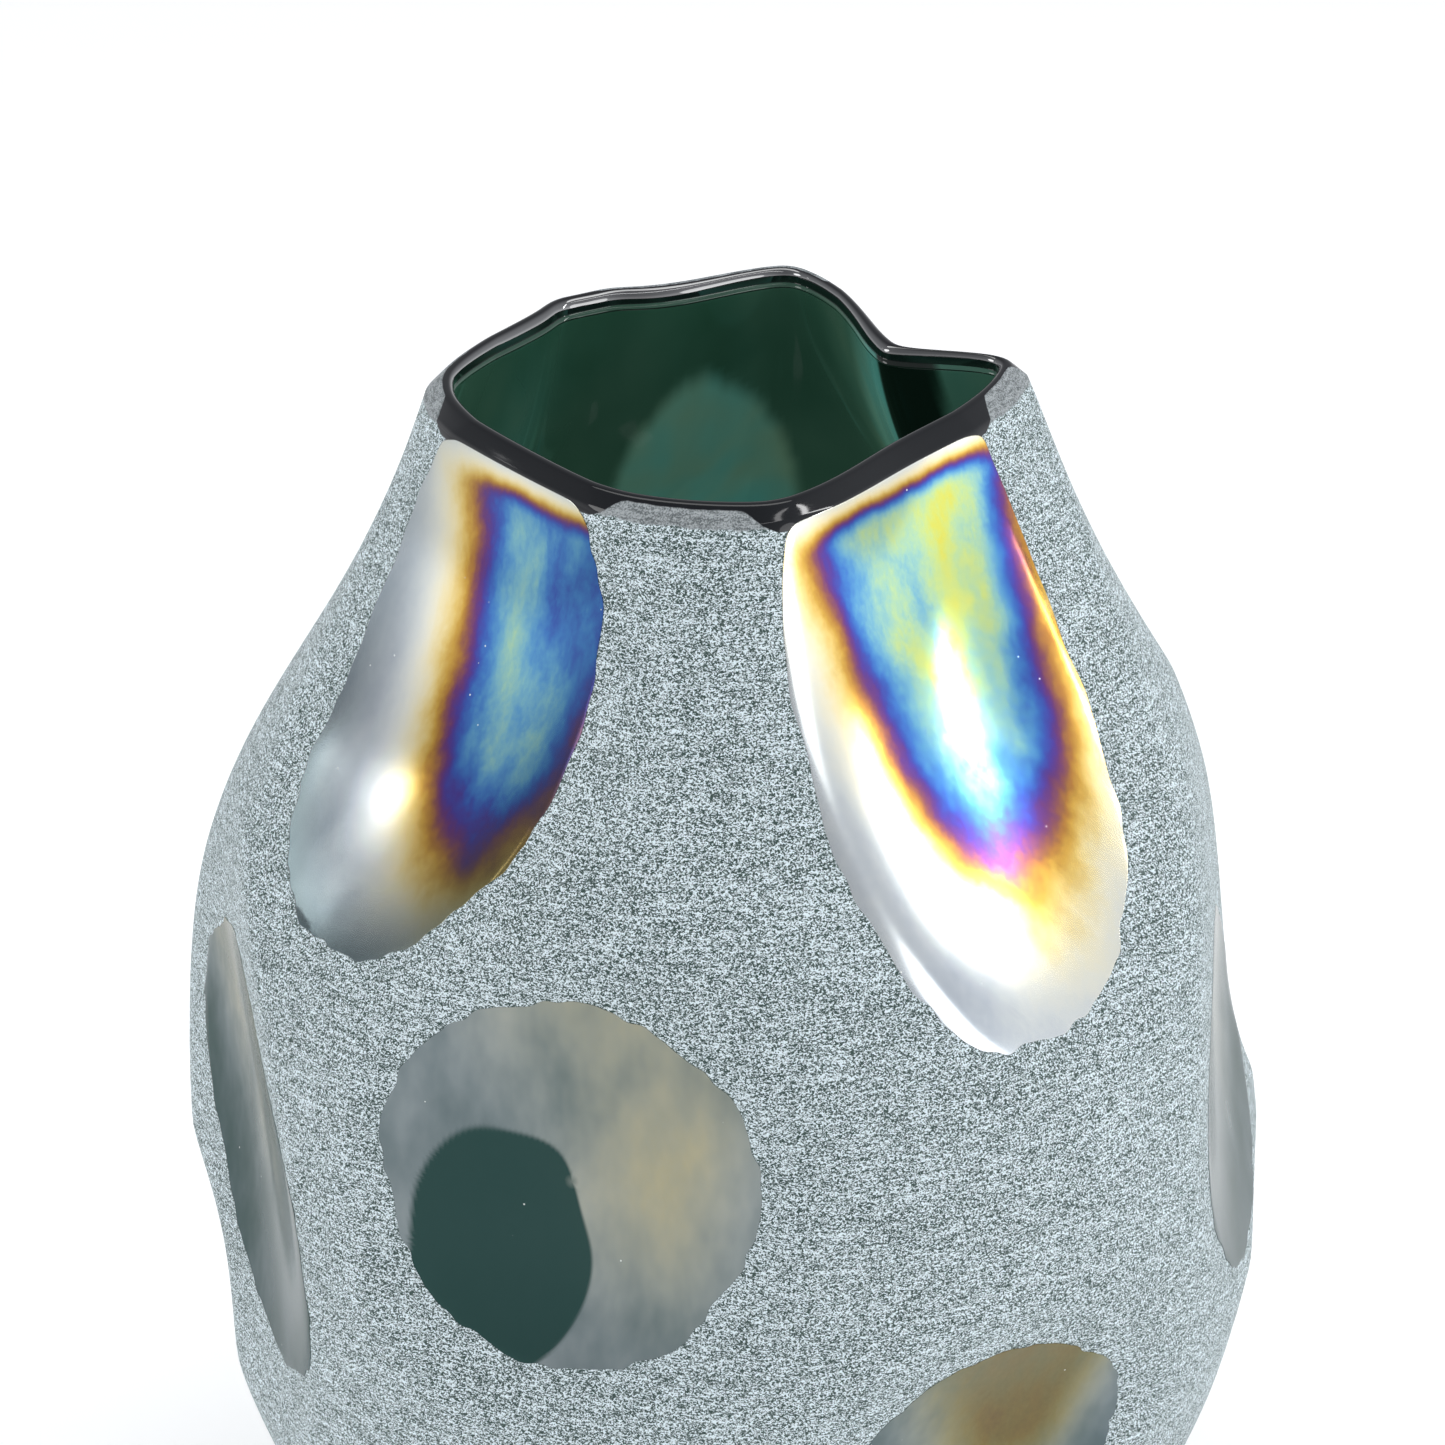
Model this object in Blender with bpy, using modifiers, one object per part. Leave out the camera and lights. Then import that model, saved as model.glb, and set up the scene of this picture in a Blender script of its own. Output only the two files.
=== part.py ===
"""Hand blown art glass vase, modelled as the layers it was gathered and finished in.

Frame: metres, +Z up, origin at the middle of the flat ground base. Azimuth is counted in
degrees from the front (-Y) towards the right (+X), and drop is the depth below the lip
before it was cut, which left the lip a few millimetres higher at the back than in front.

The vase is an inner bubble of green glass inside an outer casing. While hot, the wall was
pressed in at many places and the whole outside was fumed with a metallic lustre. Cold, the
high ground between the dents was ground matt, which left one island of lustre in each dent.
"""

from dataclasses import dataclass

import bmesh
import bpy
import numpy as np

MM = 0.001

# Overall form: the height is to the lowest point of the lip
HEIGHT = 325 * MM
LIP_RADIUS = 69 * MM
BELLY_RADIUS = 130.5 * MM
BELLY_HEIGHT = 152 * MM
FOOT_RADIUS = 60 * MM

# Handles of the two curves that make the profile, from the belly up and from the belly down
BELLY_HANDLE_UP = 87 * MM
LIP_HANDLE_OUT = 30 * MM
LIP_HANDLE_DOWN = 90 * MM
BELLY_HANDLE_DOWN = 77 * MM
FOOT_HANDLE_OUT = 43 * MM
FOOT_HANDLE_UP = 22 * MM

# Lip: its slope from the low front to the high back, and the bevel ground round its outside
LIP_RISE = 5.2 * MM
LIP_LOW_AZIMUTH = 22
LIP_RISE_REACH = 80 * MM
BEVEL_WIDTH = 2.0 * MM
BEVEL_DROP = 3.2 * MM

# Wall, measured radially
CASING_WALL = 3.0 * MM
BUBBLE_WALL = 3.2 * MM
LAYER_GAP = 0.5 * MM
FOOT_EXTRA_WALL = 3.0 * MM
FOOT_EXTRA_HEIGHT = 60 * MM
CASING_FLOOR = 5.0 * MM
BUBBLE_FLOOR = 5.0 * MM

# Lustre islands
LUSTRE_GAP = 0.5 * MM
LUSTRE_SKIN = 0.6 * MM
LUSTRE_BELOW_LIP = 6 * MM
LUSTRE_ABOVE_FOOT = 12 * MM
CUTTER_REACH = 12 * MM
CUTTER_SIDES = 28

# Fineness of the turned walls
TURN_STEPS = 48
ROW_SPACING = 14 * MM
CURVE_POINTS = 60
DENT_EDGE_POWER = 1.3


@dataclass(frozen=True)
class Dent:
    """A place pressed in by a tool: sizes in mm, measured round the wall and down it."""

    azimuth: float
    drop: float
    left: float
    right: float
    half_height: float
    depth: float
    lean: float = 0.0


@dataclass(frozen=True)
class Island:
    """Outline of the lustre left in a dent: sizes in mm, lean in mm sideways per mm down."""

    azimuth: float
    drop: float
    half_width: float
    rise: float
    fall: float
    lean: float = 0.0


DENTS = {
    "upper_left": Dent(azimuth=-50, drop=54, left=60, right=57, half_height=70, depth=11),
    "upper_right": Dent(49, 25, left=57, right=60, half_height=104, depth=16, lean=-0.19),
    "upper_back_right": Dent(118, 22, left=20, right=62, half_height=96, depth=24),
    "upper_back": Dent(-162, 34, left=42, right=37, half_height=76, depth=17),
    "upper_back_left": Dent(-126, 33, left=32, right=48, half_height=80, depth=11),
    "middle_front": Dent(-18, 150, left=58, right=58, half_height=62, depth=12),
    "middle_left": Dent(-72, 173, left=48, right=52, half_height=74, depth=12, lean=0.2),
    "middle_right": Dent(83, 146, left=62, right=67, half_height=70, depth=12, lean=-0.2),
    "middle_back_right": Dent(113, 152, left=51, right=45, half_height=47, depth=12),
    "middle_back": Dent(172, 158, left=50, right=50, half_height=55, depth=12),
    "middle_back_left": Dent(-120, 150, left=45, right=45, half_height=50, depth=12),
    "lower_front": Dent(30, 222, left=50, right=50, half_height=44, depth=10),
    "lower_left": Dent(-97, 234, left=45, right=48, half_height=44, depth=10.5),
    "lower_right": Dent(95, 236, left=44, right=44, half_height=40, depth=10),
    "lower_back": Dent(-160, 234, left=48, right=48, half_height=42, depth=10),
}

ISLANDS = {
    "upper_left": Island(azimuth=-50.5, drop=62, half_width=42, rise=74, fall=45, lean=-0.05),
    "upper_right": Island(38.5, 60, half_width=45, rise=102, fall=58, lean=-0.08),
    "upper_back_right": Island(128, 46, half_width=38, rise=70, fall=52),
    "upper_back": Island(-173, 68, half_width=31, rise=46, fall=40),
    "upper_back_left": Island(-124, 52, half_width=32, rise=60, fall=44),
    "middle_front": Island(-18, 147, half_width=46, rise=46, fall=44),
    "middle_left": Island(-68, 170, half_width=40, rise=46, fall=50, lean=0.35),
    "middle_right": Island(76, 163, half_width=36, rise=40, fall=46),
    "middle_back_right": Island(122, 160, half_width=34, rise=38, fall=40),
    "middle_back": Island(172, 160, half_width=40, rise=42, fall=40),
    "middle_back_left": Island(-126, 150, half_width=32, rise=40, fall=38, lean=-0.1),
    "lower_front": Island(30, 224, half_width=38, rise=32, fall=30),
    "lower_left": Island(-100, 238, half_width=32, rise=28, fall=28),
    "lower_right": Island(97, 238, half_width=32, rise=28, fall=28),
    "lower_back": Island(-160, 236, half_width=36, rise=30, fall=30),
}


def curve_points(start, start_handle, end_handle, end):
    """Points along one cubic Bezier curve in the (radius, height) plane."""
    t = np.linspace(0, 1, CURVE_POINTS)[:, None]
    weights = ((1 - t) ** 3, 3 * (1 - t) ** 2 * t, 3 * (1 - t) * t**2, t**3)
    corners = (start, start_handle, end_handle, end)
    return sum(weight * np.array(corner) for weight, corner in zip(weights, corners))


def base_profile():
    """Outer profile before pressing, from the foot up to the lip, as (radius, height)."""
    belly = (BELLY_RADIUS, BELLY_HEIGHT)
    lower = curve_points(
        (FOOT_RADIUS, 0),
        (FOOT_RADIUS + FOOT_HANDLE_OUT, FOOT_HANDLE_UP),
        (BELLY_RADIUS, BELLY_HEIGHT - BELLY_HANDLE_DOWN),
        belly,
    )
    upper = curve_points(
        belly,
        (BELLY_RADIUS, BELLY_HEIGHT + BELLY_HANDLE_UP),
        (LIP_RADIUS + LIP_HANDLE_OUT, HEIGHT - LIP_HANDLE_DOWN),
        (LIP_RADIUS, HEIGHT),
    )
    return np.concatenate([lower[:-1], upper])


PROFILE = base_profile()


def turned_radius(height):
    """Outer radius of the vase before pressing."""
    return np.interp(height, PROFILE[:, 1], PROFILE[:, 0])


def pressed_depth(azimuth, height):
    """How far the wall is pressed in at an azimuth in radians: the sum of all dents."""
    total = np.zeros(np.broadcast(azimuth, height).shape)
    for dent in DENTS.values():
        down = (HEIGHT - height) - dent.drop * MM
        turn = np.mod(azimuth - np.radians(dent.azimuth) + np.pi, 2 * np.pi) - np.pi
        across = turn * turned_radius(height) - dent.lean * down
        half_width = np.where(across < 0, dent.left, dent.right) * MM
        spread = (across / half_width) ** 2 + (down / (dent.half_height * MM)) ** 2
        total += dent.depth * MM * np.clip(1 - spread, 0, None) ** DENT_EDGE_POWER
    return total


def lip_lift(azimuth, height):
    """How far the sloping cut raises a point: most at the back of the lip, none lower down."""
    near_lip = np.clip(1 - (HEIGHT - height) / LIP_RISE_REACH, 0, 1)
    around = (1 - np.cos(azimuth - np.radians(LIP_LOW_AZIMUTH))) / 2
    return LIP_RISE * around * near_lip**2


def casing_offset(height):
    """Radial distance from the outside to the casing's inner wall, thicker at the foot."""
    rise = np.clip(1 - height / FOOT_EXTRA_HEIGHT, 0, None)
    return CASING_WALL + FOOT_EXTRA_WALL * rise**2


def wall_rows(lowest, highest):
    """Heights of the rows of a wall, the same inner rows for every layer."""
    count = round(HEIGHT / ROW_SPACING)
    rows = np.linspace(0, HEIGHT, count + 1)
    margin = ROW_SPACING / 3
    inner = rows[(rows > lowest + margin) & (rows < highest - margin)]
    return np.concatenate([[lowest], inner, [highest]])


def bevelled_top(profile):
    """Cut the corner between a wall's outer face, which comes first, and the lip."""
    radius, height = profile[0]
    return [(radius - BEVEL_WIDTH, height), (turned_radius(height - BEVEL_DROP), height - BEVEL_DROP)]


def wall(heights, offset):
    """Profile points of one wall face at a radial offset inwards from the outside."""
    return [(turned_radius(z) - offset(z), z) for z in heights]


def link_to(collection, obj):
    """Put an object in one collection only."""
    for other in obj.users_collection:
        other.objects.unlink(obj)
    collection.objects.link(obj)


def turned(name, profile, closed):
    """Turn a profile of (radius, height) points about Z with a Screw modifier."""
    mesh = bpy.data.meshes.new(name + "_profile")
    count = len(profile)
    edges = [(i, i + 1) for i in range(count - 1)]
    if closed:
        edges.append((count - 1, 0))
    mesh.from_pydata([(r, 0, z) for r, z in profile], edges, [])
    obj = bpy.data.objects.new(name, mesh)
    bpy.context.scene.collection.objects.link(obj)
    screw = obj.modifiers.new("Turn", "SCREW")
    screw.steps = TURN_STEPS
    screw.render_steps = TURN_STEPS
    screw.use_merge_vertices = True
    screw.merge_threshold = 0.0001
    return obj


def made_real(obj):
    """Replace an object's mesh by its evaluated one, and drop its modifiers."""
    graph = bpy.context.evaluated_depsgraph_get()
    mesh = bpy.data.meshes.new_from_object(obj.evaluated_get(graph))
    obj.modifiers.clear()
    obj.data = mesh
    mesh.name = obj.name


def press_in(obj):
    """Move each point of a turned wall towards the axis by the dents, and slope the lip."""
    mesh = obj.data
    points = np.empty(len(mesh.vertices) * 3)
    mesh.vertices.foreach_get("co", points)
    points = points.reshape(-1, 3)
    radius = np.hypot(points[:, 0], points[:, 1])
    azimuth = np.arctan2(points[:, 0], -points[:, 1])
    height = np.clip(points[:, 2], 0, HEIGHT)
    on_axis = radius < 1e-6
    pressed = radius - pressed_depth(azimuth, height)
    scale = np.where(on_axis, 1, pressed / np.where(on_axis, 1, radius))
    points[:, :2] *= scale[:, None]
    points[:, 2] += np.where(on_axis, 0, lip_lift(azimuth, height))
    mesh.vertices.foreach_set("co", points.ravel())
    mesh.update()


def split_quads(obj):
    """Split every four-sided face along the same diagonal, so that layers stay parallel."""
    bm = bmesh.new()
    bm.from_mesh(obj.data)
    for face in [face for face in bm.faces if len(face.verts) == 4]:
        corners = list(face.verts)
        first, second = sorted(corners, key=lambda vert: vert.co.z)[:2]
        turns_on = first.co.x * second.co.y > first.co.y * second.co.x
        start = first if turns_on else second
        opposite = corners[(corners.index(start) + 2) % 4]
        bmesh.utils.face_split(face, start, opposite)
    bm.to_mesh(obj.data)
    bm.free()


def cup(name, outer_offset, inner_offset, floor_low, floor_high, bevelled=False):
    """A pressed glass cup between two radial offsets, open at the lip."""
    inner = wall(wall_rows(floor_high, HEIGHT), inner_offset)
    outer = wall(wall_rows(floor_low, HEIGHT), outer_offset)[::-1]
    if bevelled:
        outer[:1] = bevelled_top(outer)
    profile = [(0, floor_high)] + inner + outer + [(0, floor_low)]
    obj = turned(name, profile, closed=False)
    made_real(obj)
    press_in(obj)
    split_quads(obj)
    return obj


def lustre_stock():
    """A thin pressed shell just outside the casing, which every island is cut from."""
    rows = wall_rows(LUSTRE_ABOVE_FOOT, HEIGHT - LUSTRE_BELOW_LIP)
    inner = wall(rows, lambda z: -LUSTRE_GAP)
    outer = wall(rows, lambda z: -LUSTRE_GAP - LUSTRE_SKIN)
    obj = turned("lustre_stock", inner + outer[::-1], closed=True)
    made_real(obj)
    press_in(obj)
    split_quads(obj)
    return obj


def island_cutter(name, island):
    """A disc wrapped on the pressed wall and thickened through it."""
    bm = bmesh.new()
    bmesh.ops.create_circle(bm, cap_ends=True, cap_tris=True, segments=CUTTER_SIDES, radius=1)
    lifted = bmesh.ops.extrude_face_region(bm, geom=bm.faces[:])["geom"]
    outside = {item for item in lifted if isinstance(item, bmesh.types.BMVert)}
    for vert in bm.verts:
        fall = island.fall if vert.co.y < 0 else island.rise
        down = -vert.co.y * fall * MM
        across = vert.co.x * island.half_width * MM + island.lean * down
        height = HEIGHT - island.drop * MM - down
        level = min(max(height, 0), HEIGHT)
        azimuth = np.radians(island.azimuth) + across / turned_radius(level)
        reach = CUTTER_REACH if vert in outside else -CUTTER_REACH
        radius = turned_radius(level) - pressed_depth(azimuth, level) + reach
        height += lip_lift(azimuth, level)
        vert.co = (radius * np.sin(azimuth), -radius * np.cos(azimuth), height)
    bmesh.ops.recalc_face_normals(bm, faces=bm.faces[:])
    mesh = bpy.data.meshes.new(name)
    bm.to_mesh(mesh)
    bm.free()
    obj = bpy.data.objects.new(name, mesh)
    obj.display_type = "WIRE"
    obj.hide_render = True
    return obj


def principled(name, colour, roughness, metallic):
    """A plain material in the piece's own colour."""
    material = bpy.data.materials.new(name)
    material.use_nodes = True
    shader = material.node_tree.nodes["Principled BSDF"]
    shader.inputs["Base Color"].default_value = (*colour, 1)
    shader.inputs["Roughness"].default_value = roughness
    shader.inputs["Metallic"].default_value = metallic
    return material


def shade(obj, material):
    """Give a piece its material and smooth shading with sharp corners kept."""
    obj.data.materials.clear()
    obj.data.materials.append(material)
    obj.data.shade_smooth()
    obj.data.set_sharp_from_angle(angle=np.radians(40))


def clear_scene():
    """Remove every object of the opening scene."""
    for obj in list(bpy.data.objects):
        bpy.data.objects.remove(obj, do_unlink=True)


def main():
    """Build the casing, the bubble and one lustre island for each outline."""
    clear_scene()
    pieces = bpy.data.collections.new("art_glass_vase")
    cutters = bpy.data.collections.new("cutters")
    for collection in (pieces, cutters):
        bpy.context.scene.collection.children.link(collection)

    casing = cup("outer_casing", lambda z: 0.0, casing_offset, 0.0, CASING_FLOOR, bevelled=True)
    shade(casing, principled("ground_glass", (0.30, 0.37, 0.36), 0.65, 0.0))
    link_to(pieces, casing)

    bubble = cup(
        "inner_bubble",
        lambda z: casing_offset(z) + LAYER_GAP,
        lambda z: casing_offset(z) + LAYER_GAP + BUBBLE_WALL,
        CASING_FLOOR + LAYER_GAP,
        CASING_FLOOR + LAYER_GAP + BUBBLE_FLOOR,
    )
    shade(bubble, principled("green_glass", (0.012, 0.05, 0.032), 0.06, 0.0))
    link_to(pieces, bubble)

    stock = lustre_stock()
    stock.hide_render = True
    stock.display_type = "WIRE"
    link_to(cutters, stock)
    for name, island in ISLANDS.items():
        cutter = island_cutter("cutter_" + name, island)
        cutters.objects.link(cutter)
        lustre = bpy.data.objects.new("lustre_" + name, stock.data.copy())
        pieces.objects.link(lustre)
        cut = lustre.modifiers.new("Keep island", "BOOLEAN")
        cut.operation = "INTERSECT"
        cut.solver = "MANIFOLD"  # the exact solver loses so thin a shell
        cut.object = cutter
        shade(lustre, principled("lustre_" + name, (0.45, 0.5, 0.55), 0.12, 0.9))


main()
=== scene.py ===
"""The looks of a hand blown art glass vase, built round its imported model.

Azimuth is measured from the front (-Y) towards the right (+X). Drop is the depth below the
lip before it was cut. Offset is measured from the outside face inwards, towards the axis.
"""

import logging
import math
from dataclasses import dataclass, field
from enum import Enum

import bpy
import numpy as np
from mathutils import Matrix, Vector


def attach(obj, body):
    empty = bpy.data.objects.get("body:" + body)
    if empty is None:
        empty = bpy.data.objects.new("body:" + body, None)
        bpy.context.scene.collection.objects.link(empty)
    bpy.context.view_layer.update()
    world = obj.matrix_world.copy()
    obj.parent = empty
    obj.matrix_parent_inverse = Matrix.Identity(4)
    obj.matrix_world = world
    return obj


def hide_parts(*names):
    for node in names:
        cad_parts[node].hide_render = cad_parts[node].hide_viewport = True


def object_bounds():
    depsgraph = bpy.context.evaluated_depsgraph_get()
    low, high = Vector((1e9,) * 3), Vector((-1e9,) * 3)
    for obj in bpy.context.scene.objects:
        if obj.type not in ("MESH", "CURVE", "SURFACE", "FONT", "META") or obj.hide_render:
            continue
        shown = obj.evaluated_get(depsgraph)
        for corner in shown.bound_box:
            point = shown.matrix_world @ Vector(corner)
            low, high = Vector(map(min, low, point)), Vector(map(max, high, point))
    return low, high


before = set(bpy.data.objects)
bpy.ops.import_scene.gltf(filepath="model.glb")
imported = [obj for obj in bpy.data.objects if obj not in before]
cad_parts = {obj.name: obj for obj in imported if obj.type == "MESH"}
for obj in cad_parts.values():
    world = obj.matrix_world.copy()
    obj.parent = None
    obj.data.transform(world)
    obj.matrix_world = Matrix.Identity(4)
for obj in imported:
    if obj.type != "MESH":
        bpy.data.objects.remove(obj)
CAD_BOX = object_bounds()
MM = 0.001
LOG = logging.getLogger("art_glass_vase")
Colour = tuple[float, float, float]
Pair = tuple[float, float]


# ---------------------------------------------------------------- node trees


class Socket:
    """An output of a node, on which arithmetic adds Math nodes."""

    def __init__(self, tree: "Tree", link: bpy.types.NodeSocket) -> None:
        """Keep the tree and the output.

        Args:
            tree: the node tree that the output belongs to.
            link: the output itself.
        """
        self.tree = tree
        self.link = link

    def _math(self, operation: str, first: "Socket | float", second: "Socket | float") -> "Socket":
        """One Math node of two values.

        Args:
            operation: the Math node's operation.
            first: its first value.
            second: its second value.

        Returns:
            The result.
        """
        return self.tree.add("ShaderNodeMath", {"operation": operation}, {0: first, 1: second})

    def __add__(self, other: "Socket | float") -> "Socket":
        """Sum."""
        return self._math("ADD", self, other)

    def __radd__(self, other: float) -> "Socket":
        """Sum with a number first."""
        return self._math("ADD", other, self)

    def __sub__(self, other: "Socket | float") -> "Socket":
        """Difference."""
        return self._math("SUBTRACT", self, other)

    def __rsub__(self, other: float) -> "Socket":
        """Difference from a number."""
        return self._math("SUBTRACT", other, self)

    def __mul__(self, other: "Socket | float") -> "Socket":
        """Product."""
        return self._math("MULTIPLY", self, other)

    def __rmul__(self, other: float) -> "Socket":
        """Product with a number first."""
        return self._math("MULTIPLY", other, self)

    def rises(self, low: float, high: float) -> "Socket":
        """A smooth step from 0 at low to 1 at high.

        Args:
            low: where the step starts.
            high: where it ends.

        Returns:
            The stepped value.
        """
        settings = {"interpolation_type": "SMOOTHSTEP"}
        return self.tree.add("ShaderNodeMapRange", settings, {"Value": self, 1: low, 2: high})


Input = Socket | float | tuple


class Tree:
    """A material's or a world's node tree, with one method that adds every node."""

    def __init__(self, owner: bpy.types.Material | bpy.types.World) -> None:
        """Empty the owner's tree.

        Args:
            owner: the material or world.
        """
        owner.use_nodes = True
        self.nodes = owner.node_tree.nodes
        self.links = owner.node_tree.links
        self.nodes.clear()

    def add(
        self, kind: str, settings: dict, inputs: dict[str | int, Input], out: str | int = 0
    ) -> Socket | None:
        """Add a node: its settings first, then the values or links of its inputs.

        Args:
            kind: the node's type.
            settings: properties by name; "stops" holds a ramp's (position, colour) pairs.
            inputs: values or sockets by input name or number.
            out: name or number of the output that is returned.

        Returns:
            The chosen output, or None where the node has none.
        """
        node = self.nodes.new(kind)
        for name, value in settings.items():
            if name == "stops":
                self._fill_ramp(node.color_ramp, value)
            else:
                setattr(node, name, value)
        for name, value in inputs.items():
            if isinstance(value, Socket):
                self.links.new(value.link, node.inputs[name])
            elif isinstance(value, tuple) and node.inputs[name].type == "RGBA":
                node.inputs[name].default_value = (*value, 1.0)
            else:
                node.inputs[name].default_value = value
        return Socket(self, node.outputs[out]) if len(node.outputs) else None

    @staticmethod
    def _fill_ramp(ramp: bpy.types.ColorRamp, stops: list[tuple[float, Colour]]) -> None:
        """Replace a ramp's stops.

        Args:
            ramp: the ramp.
            stops: (position, colour) pairs in rising order, at least two.
        """
        while len(ramp.elements) > 2:
            ramp.elements.remove(ramp.elements[-1])
        for index, (position, colour) in enumerate(stops):
            item = ramp.elements[index] if index < 2 else ramp.elements.new(position)
            item.position = position
            item.color = (*colour, 1.0)

    def place(self) -> Socket:
        """The point being shaded, in metres, in the vase's own frame."""
        return self.add("ShaderNodeTexCoord", {}, {}, "Object")

    def attribute(self, name: str) -> Socket:
        """A number stored on the piece's vertices."""
        return self.add("ShaderNodeAttribute", {"attribute_name": name}, {}, "Fac")

    def stretched(self, across: float, up: float) -> Socket:
        """Object coordinates with their own scale across and up.

        Args:
            across: scale of X and Y.
            up: scale of Z.

        Returns:
            The scaled coordinates.
        """
        inputs = {0: self.place(), 1: (across, across, up)}
        return self.add("ShaderNodeVectorMath", {"operation": "MULTIPLY"}, inputs)

    def axis(self, where: Socket, name: str) -> Socket:
        """One coordinate, X, Y or Z, of a point or a direction."""
        return self.add("ShaderNodeSeparateXYZ", {}, {"Vector": where}, name)

    def cells(self, where: Socket, out: str) -> Socket:
        """Cells of about one unit: each one's random Color, or the Distance to its middle."""
        return self.add("ShaderNodeTexVoronoi", {}, {"Vector": where, "Scale": 1.0}, out)

    def noise(self, where: Socket, detail: float = 2.0, roughness: float = 0.5) -> Socket:
        """Noise of about one unit, from 0 to 1.

        Args:
            where: the coordinates.
            detail: number of finer layers.
            roughness: how strong the finer layers are.

        Returns:
            The noise value.
        """
        inputs = {"Vector": where, "Scale": 1.0, "Detail": detail, "Roughness": roughness}
        return self.add("ShaderNodeTexNoise", {}, inputs)

    def mix(self, share: Socket | float, first: Input, second: Input) -> Socket:
        """Blend two colours with a Mix node, whose colours are its inputs 6 and 7 and output 2.

        Args:
            share: 0 gives the first colour and 1 the second.
            first: the first colour.
            second: the second colour.

        Returns:
            The blended colour.
        """
        return self.add("ShaderNodeMix", {"data_type": "RGBA"}, {0: share, 6: first, 7: second}, 2)

    def bump(self, height: Socket, strength: float, distance: float) -> Socket:
        """A bumped normal.

        Args:
            height: height of the surface, from 0 to 1.
            strength: share of the effect.
            distance: height of 1 in metres.

        Returns:
            The normal.
        """
        inputs = {"Height": height, "Strength": strength, "Distance": distance}
        return self.add("ShaderNodeBump", {}, inputs, "Normal")

    def surface(self, inputs: dict[str | int, Input]) -> None:
        """Finish the tree with one Principled shader."""
        shader = self.add("ShaderNodeBsdfPrincipled", {}, inputs)
        self.add("ShaderNodeOutputMaterial", {}, {"Surface": shader})


# ---------------------------------------------------------------- finishes
# A scale is per metre, across and up. A range is where a smooth step starts and ends.


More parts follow.
